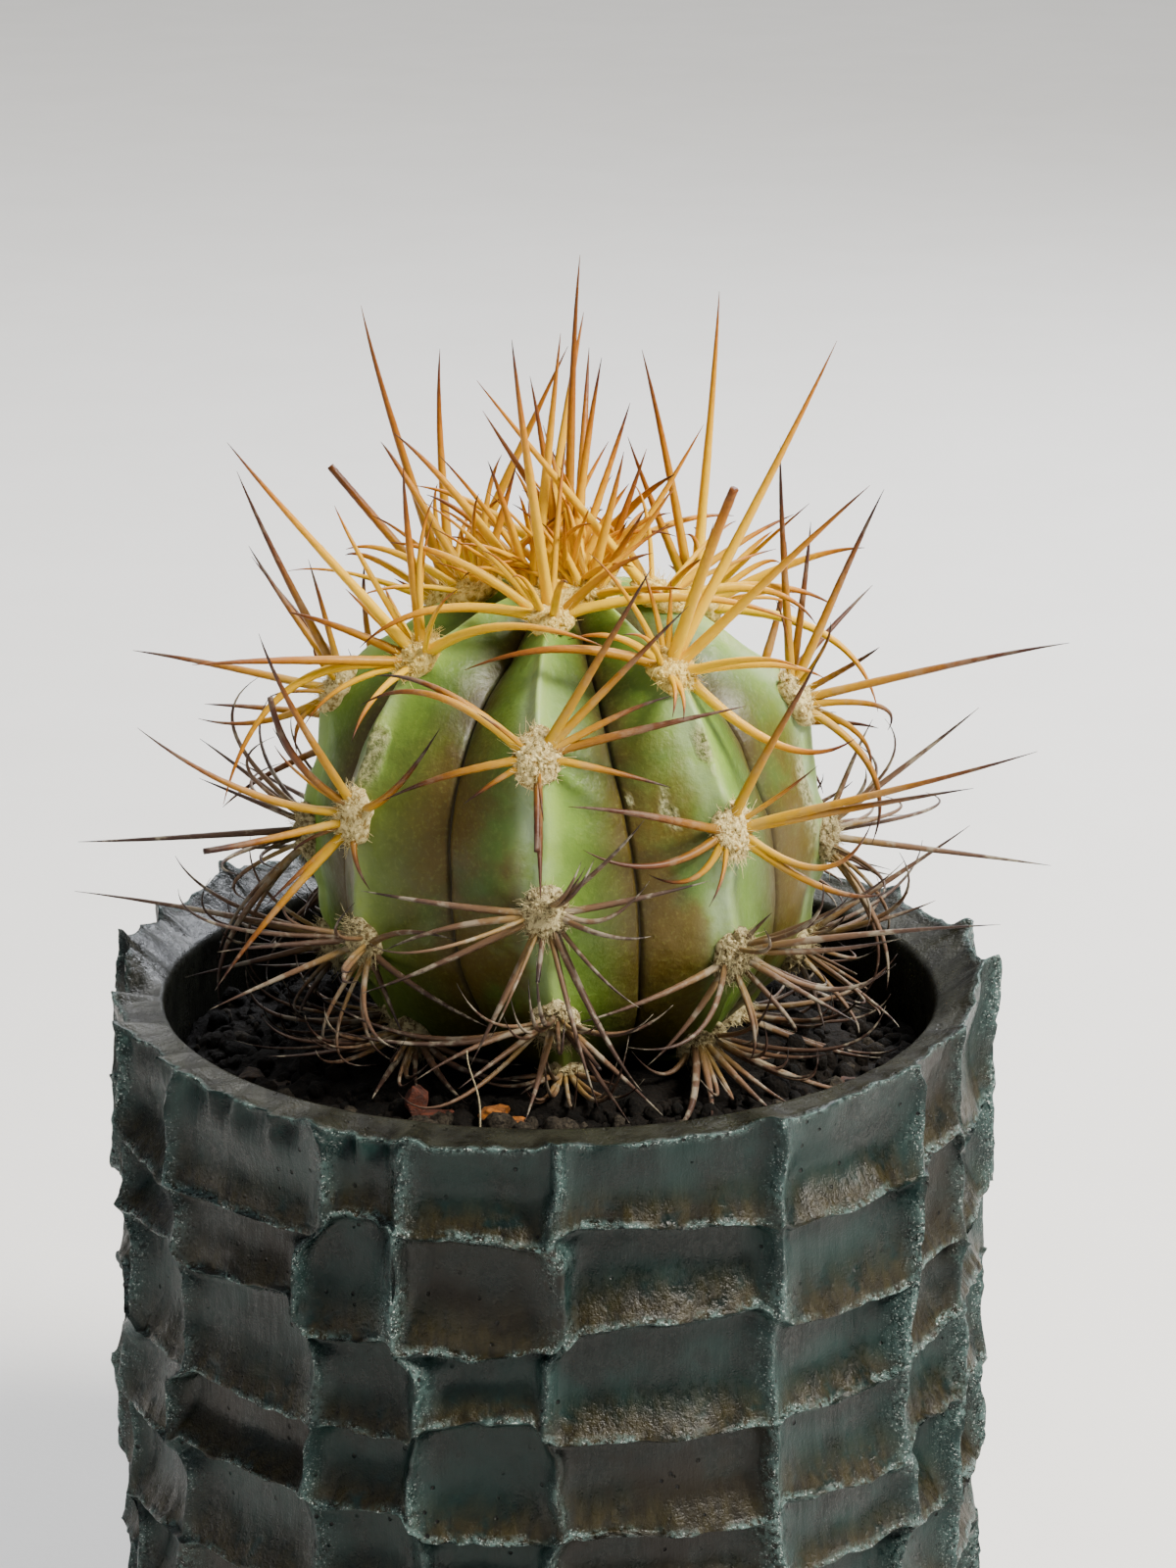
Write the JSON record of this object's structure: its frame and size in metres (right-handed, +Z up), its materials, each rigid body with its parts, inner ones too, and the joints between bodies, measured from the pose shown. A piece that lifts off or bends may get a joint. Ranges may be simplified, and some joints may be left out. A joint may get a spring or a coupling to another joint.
{
  "type": "potted round cactus",
  "caption": "Ribbed globe cactus with long curved spines growing from woolly areoles, in dark soil in a straight-sided chiselled pot with drainage holes.",
  "frame": {"origin": "centre of the pot's flat underside, on the surface that the pot stands on", "axes": "+Z up along the pot's axis; -Y is the front, the side of the plant that the chosen spines face; +X to the right seen from the front"},
  "size_m": [0.1411, 0.1338, 0.2159],
  "materials": {
    "pot": "satin, chiselled and pitted, dark blue-grey with brown tints and brighter broken edges",
    "soil": "matte crumbly potting mix, dark brown",
    "bark": "rough bark, red-brown to ochre",
    "plant_skin": "satin waxy skin, green with a pale bloom on the rib crests and olive furrows",
    "spines_young": "satin, yellow at the root, brown at the tip, in cream wool",
    "spines_middle": "satin, golden tan with brown tips, in tan wool",
    "spines_old": "matte, weathered grey-brown with dark tips, in grey wool"
  },
  "bodies": {
    "root": {"pot": "pot", "soil": "soil", "bark_chip_1": "bark", "bark_chip_2": "bark", "bark_chip_3": "bark", "bark_chip_4": "bark", "cactus_body": "plant_skin", "areole_1a": "spines_young", "areole_1b": "spines_middle", "areole_1c": "spines_old", "areole_1d": "spines_old", "areole_1e": "spines_old", "areole_2a": "spines_young", "areole_2b": "spines_young", "areole_2c": "spines_middle", "areole_2d": "spines_old", "areole_2e": "spines_old", "areole_3a": "spines_young", "areole_3b": "spines_middle", "areole_3c": "spines_old", "areole_3d": "spines_old", "areole_3e": "spines_old", "areole_4a": "spines_young", "areole_4b": "spines_young", "areole_4c": "spines_middle", "areole_4d": "spines_old", "areole_4e": "spines_old", "areole_5a": "spines_young", "areole_5b": "spines_middle", "areole_5c": "spines_old", "areole_5d": "spines_old", "areole_5e": "spines_old", "areole_6a": "spines_young", "areole_6b": "spines_young", "areole_6c": "spines_middle", "areole_6d": "spines_old", "areole_6e": "spines_old", "areole_7a": "spines_young", "areole_7b": "spines_middle", "areole_7c": "spines_old", "areole_7d": "spines_old", "areole_7e": "spines_old", "areole_8a": "spines_young", "areole_8b": "spines_young", "areole_8c": "spines_middle", "areole_8d": "spines_old", "areole_8e": "spines_old", "areole_crown": "spines_young"}
  },
  "joints": []
}
